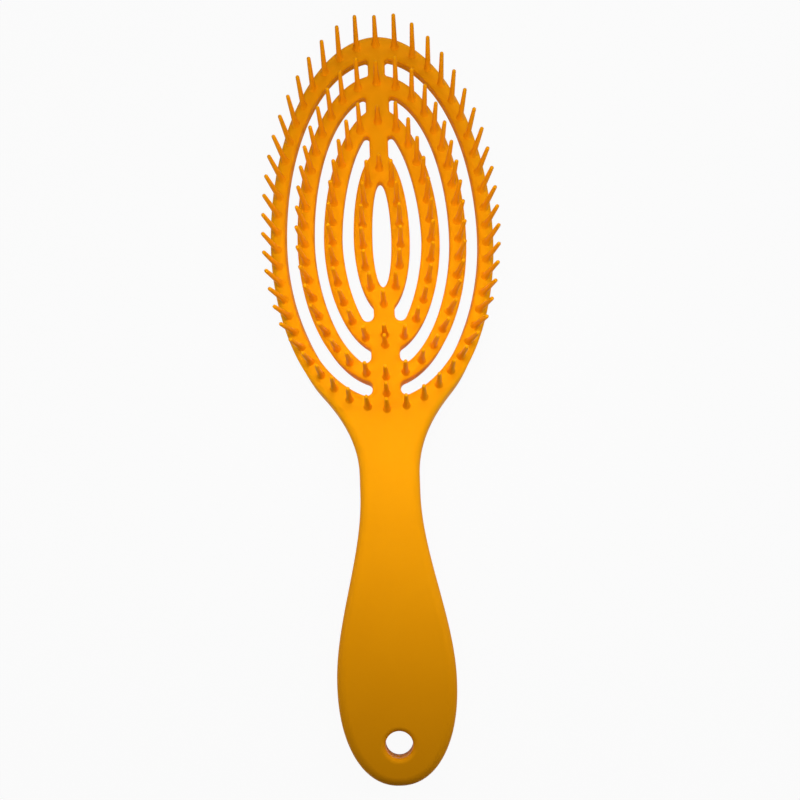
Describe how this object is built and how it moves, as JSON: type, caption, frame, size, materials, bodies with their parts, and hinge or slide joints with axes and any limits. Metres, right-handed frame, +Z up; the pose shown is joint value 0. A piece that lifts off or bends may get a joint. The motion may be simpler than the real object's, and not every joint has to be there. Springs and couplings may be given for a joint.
{
  "type": "hair brush",
  "caption": "Oval vented hair brush: nested ribs round a centre slot carry upright pins, and a hollow handle with a hanging hole forks into the yoke that holds the ribs.",
  "frame": {"origin": "on the table under the middle of the brush, which lies on its back on the flat of its handle and the tip of its head", "axes": "+Y along the brush from the handle to the head, +X across it, +Z up, the way the pins point"},
  "size_m": [0.0741, 0.2446, 0.0351],
  "materials": {
    "orange_plastic": "satin"
  },
  "bodies": {
    "root": {"handle_front_shell": "orange_plastic", "handle_rear_shell": "orange_plastic", "outer_pin_rib": "orange_plastic", "second_pin_rib": "orange_plastic", "third_pin_rib": "orange_plastic", "inner_pin_rib": "orange_plastic", "outer_rear_rib": "orange_plastic", "second_rear_rib": "orange_plastic", "third_rear_rib": "orange_plastic", "inner_rear_rib": "orange_plastic"}
  },
  "joints": []
}
